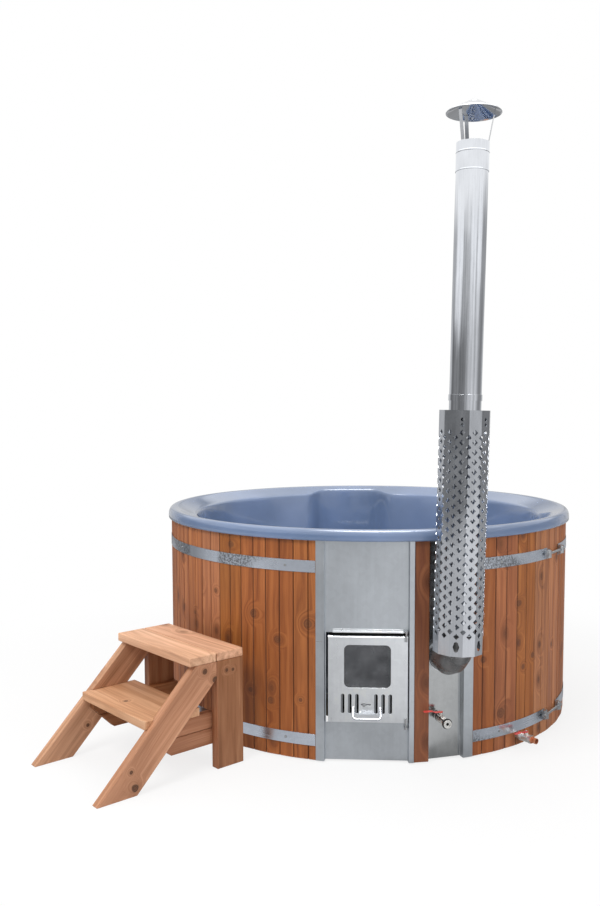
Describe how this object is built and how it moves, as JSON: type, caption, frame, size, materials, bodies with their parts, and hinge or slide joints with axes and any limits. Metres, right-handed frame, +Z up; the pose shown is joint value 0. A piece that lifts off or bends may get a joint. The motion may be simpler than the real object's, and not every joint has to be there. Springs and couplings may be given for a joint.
{
  "type": "wooden hot tub",
  "caption": "Round outdoor hot tub: moulded shell in a ring of stained boards with steel hoops, a built-in wood-fired heater with a guarded chimney, drain valves and a loose step stair.",
  "frame": {"origin": "on the tub's vertical axis, at the ground under the base boards", "axes": "+Z up along the chimney's height, -Y towards the user at the fire door, +X to the user's right"},
  "size_m": [2.4211, 2.5044, 2.7015],
  "materials": {
    "shell_gelcoat": "glossy moulded gelcoat",
    "stained_wood": "stained, oiled softwood boards",
    "plain_wood": "rough sawn softwood",
    "step_wood": "oiled softwood with knots",
    "hoop_steel": "rolled band, satin",
    "zinc_fittings": "zinc plated",
    "brushed_sheet": "satin sheet",
    "polished_steel": "mirror-bright pipe",
    "guard_steel": "bright perforated sheet",
    "stove_steel": "heat-blued plate",
    "grate_iron": "cast",
    "valve_chrome": "nickel plated",
    "copper": "copper tail",
    "pipe_plastic": "grey pipe",
    "red_lever": "dipped red",
    "strap_rubber": "soft rubber",
    "door_glass": "dark, sooted"
  },
  "bodies": {
    "tub": {"shell": "shell_gelcoat", "wall_boards": "stained_wood", "front_board": "stained_wood", "base_boards": "plain_wood", "base_joists": "plain_wood", "frame_rings": "plain_wood", "frame_posts": "plain_wood", "hoop_upper": "hoop_steel", "hoop_lower": "hoop_steel", "hoop_lugs": "zinc_fittings", "hoop_bolts": "zinc_fittings", "hoop_screws": "zinc_fittings", "heater_panel": "brushed_sheet", "heater_trim_left": "brushed_sheet", "heater_trim_right": "brushed_sheet", "flue_panel": "brushed_sheet", "flue_trim": "brushed_sheet", "drip_lip": "brushed_sheet", "hinge_eyes": "zinc_fittings", "stove_body": "stove_steel", "stove_mouth": "stove_steel", "stove_grate": "grate_iron", "stove_rails": "stove_steel", "water_fittings": "polished_steel", "floor_drain": "polished_steel", "drain_pipe": "pipe_plastic", "flue_rosette": "polished_steel", "flue_elbow": "polished_steel", "flue_pipe_lower": "polished_steel", "flue_joint_ring": "polished_steel", "flue_pipe_upper": "polished_steel", "chimney_guard": "guard_steel", "guard_spacers": "brushed_sheet", "rain_cap_collar": "polished_steel", "rain_cap_legs": "polished_steel", "rain_cap": "polished_steel", "drain_valve_body": "valve_chrome", "drain_valve_outlet": "copper", "heater_valve_body": "valve_chrome", "heater_valve_nipple": "zinc_fittings", "heater_valve_cap": "valve_chrome", "heater_valve_strap": "strap_rubber"},
    "door": {"door_panel": "brushed_sheet", "door_glass": "door_glass", "door_glass_frame": "stove_steel", "door_handle": "polished_steel", "door_hinge_pins": "zinc_fittings"},
    "damper": {"air_damper": "brushed_sheet", "air_damper_knob": "polished_steel"},
    "drain_handle": {"drain_valve_ball": "valve_chrome", "drain_valve_lever": "red_lever"},
    "heater_handle": {"heater_valve_ball": "valve_chrome", "heater_valve_lever": "red_lever"},
    "steps": {"step_strings": "step_wood", "step_legs": "step_wood", "top_tread_front": "step_wood", "top_tread_back": "step_wood", "lower_tread": "step_wood", "step_rails": "step_wood"}
  },
  "joints": [
    {"name": "door_hinge", "type": "hinge", "parent": "tub", "child": "door", "pos_m": [0.17036, -0.98183, 0.359], "axis": [0, 0, 1], "range_deg": [0, 110]},
    {"name": "damper_slide", "type": "slide", "parent": "door", "child": "damper", "axis": [1, 0.007, 0], "range_m": [-0.007, 0.022]},
    {"name": "drain_handle_turn", "type": "hinge", "parent": "tub", "child": "drain_handle", "pos_m": [0.70259, -0.7803, 0.051], "axis": [0, 0, 1], "range_deg": [0, 90]},
    {"name": "heater_handle_turn", "type": "hinge", "parent": "tub", "child": "heater_handle", "pos_m": [0.31427, -0.96722, 0.196], "axis": [0, 0, 1], "range_deg": [0, 90]},
    {"name": "steps_slide", "type": "slide", "parent": "tub", "child": "steps", "axis": [-0.6691, -0.7431, 0], "range_m": [0, 0.5]}
  ]
}
